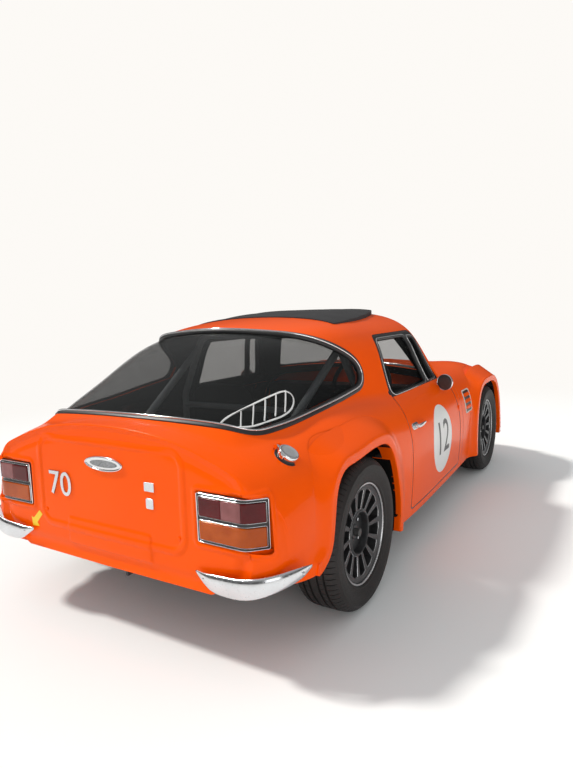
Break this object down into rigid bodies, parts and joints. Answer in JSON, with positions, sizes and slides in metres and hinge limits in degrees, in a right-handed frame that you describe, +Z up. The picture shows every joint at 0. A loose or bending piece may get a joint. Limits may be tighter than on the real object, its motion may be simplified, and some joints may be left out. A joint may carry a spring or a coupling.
{
  "type": "two-seat fastback sports coupe",
  "caption": "Low two-seat fastback coupe with wraparound rear glass, opening doors, forward-hinged bonnet, steered front wheels and flared arches.",
  "frame": {"origin": "on the ground under the middle of the car's overall box", "axes": "+X forward towards the nose, +Y to the car's left, +Z up"},
  "size_m": [3.6604, 1.624, 1.2244],
  "materials": {
    "body_paint": "gloss orange",
    "glass": "clear",
    "frame_paint": "satin black",
    "arm_steel": "satin",
    "engine_metal": "cast",
    "alloy": "gunmetal with bright lip",
    "tyre": "matt",
    "chrome": "polished",
    "lamp_red": "moulded lens",
    "lamp_clear": "fluted lens",
    "trim_black": "matt",
    "seat_black": "grained",
    "roof_fabric": "woven",
    "cage_grey": "satin grey"
  },
  "bodies": {
    "body": {"body_shell": "body_paint", "floor_tub": "trim_black", "windscreen": "glass", "rear_window": "glass", "sunroof_panel": "roof_fabric", "chassis_frame": "frame_paint", "tow_eye": "frame_paint", "front_suspension": "arm_steel", "rear_suspension": "arm_steel", "engine_block": "engine_metal", "radiator": "trim_black", "exhaust": "alloy", "seat_left": "seat_black", "seat_right": "seat_black", "dashboard": "trim_black", "steering_column": "trim_black", "roll_cage": "cage_grey", "tail_lamps": "lamp_red", "rear_bumpers": "chrome", "tail_plinth": "chrome"},
    "bonnet": {"bonnet_shell": "body_paint", "headlamps": "lamp_clear", "front_grille": "trim_black", "side_vents": "chrome", "front_bumpers": "chrome"},
    "door_left": {"door_left_shell": "body_paint", "door_left_glass": "glass", "handle_left": "chrome", "mirror_left": "chrome"},
    "door_right": {"door_right_shell": "body_paint", "door_right_glass": "glass", "handle_right": "chrome", "mirror_right": "chrome"},
    "filler_lid": {"filler_cap": "chrome"},
    "steer_left": {"knuckle_left": "arm_steel"},
    "steer_right": {"knuckle_right": "arm_steel"},
    "wheel_front_left": {"rim_front_left": "alloy", "tyre_front_left": "tyre"},
    "wheel_front_right": {"rim_front_right": "alloy", "tyre_front_right": "tyre"},
    "wheel_rear_left": {"rim_rear_left": "alloy", "tyre_rear_left": "tyre"},
    "wheel_rear_right": {"rim_rear_right": "alloy", "tyre_rear_right": "tyre"},
    "steering": {"steering_wheel": "trim_black"}
  },
  "joints": [
    {"name": "spin_rear_left", "type": "hinge", "parent": "body", "child": "wheel_rear_left", "pos_m": [-1.143, 0.695, 0.318], "axis": [0, 1, 0], "continuous": true},
    {"name": "spin_rear_right", "type": "hinge", "parent": "body", "child": "wheel_rear_right", "pos_m": [-1.143, -0.695, 0.318], "axis": [0, 1, 0], "continuous": true},
    {"name": "steer_left_pivot", "type": "hinge", "parent": "body", "child": "steer_left", "pos_m": [1.143, 0.64, 0.318], "axis": [0, 0, 1], "range_deg": [-30, 30]},
    {"name": "steer_right_pivot", "type": "hinge", "parent": "body", "child": "steer_right", "pos_m": [1.143, -0.64, 0.318], "axis": [0, 0, 1], "range_deg": [-30, 30]},
    {"name": "spin_front_left", "type": "hinge", "parent": "steer_left", "child": "wheel_front_left", "pos_m": [1.143, 0.695, 0.318], "axis": [0, 1, 0], "continuous": true},
    {"name": "spin_front_right", "type": "hinge", "parent": "steer_right", "child": "wheel_front_right", "pos_m": [1.143, -0.695, 0.318], "axis": [0, 1, 0], "continuous": true},
    {"name": "steering_wheel_turn", "type": "hinge", "parent": "body", "child": "steering", "pos_m": [-0.14, -0.33, 0.792], "axis": [-0.9511, 0, 0.309], "range_deg": [-480, 480]},
    {"name": "door_left_hinge", "type": "hinge", "parent": "body", "child": "door_left", "pos_m": [0.396, 0.769, 0.54], "axis": [0, 0, -1], "range_deg": [0, 60]},
    {"name": "door_right_hinge", "type": "hinge", "parent": "body", "child": "door_right", "pos_m": [0.396, -0.769, 0.54], "axis": [0, 0, 1], "range_deg": [0, 60]},
    {"name": "bonnet_hinge", "type": "hinge", "parent": "body", "child": "bonnet", "pos_m": [1.66, 0, 0.262], "axis": [0, 1, 0], "range_deg": [0, 60]},
    {"name": "filler_hinge", "type": "hinge", "parent": "body", "child": "filler_lid", "pos_m": [-1.56, -0.63194, 0.77239], "axis": [-1, 0, 0], "range_deg": [0, 100]}
  ],
  "couplings": [
    {"joint": "steer_right_pivot", "follows": "steer_left_pivot", "ratio": 1},
    {"joint": "steering_wheel_turn", "follows": "steer_left_pivot", "ratio": 16}
  ]
}
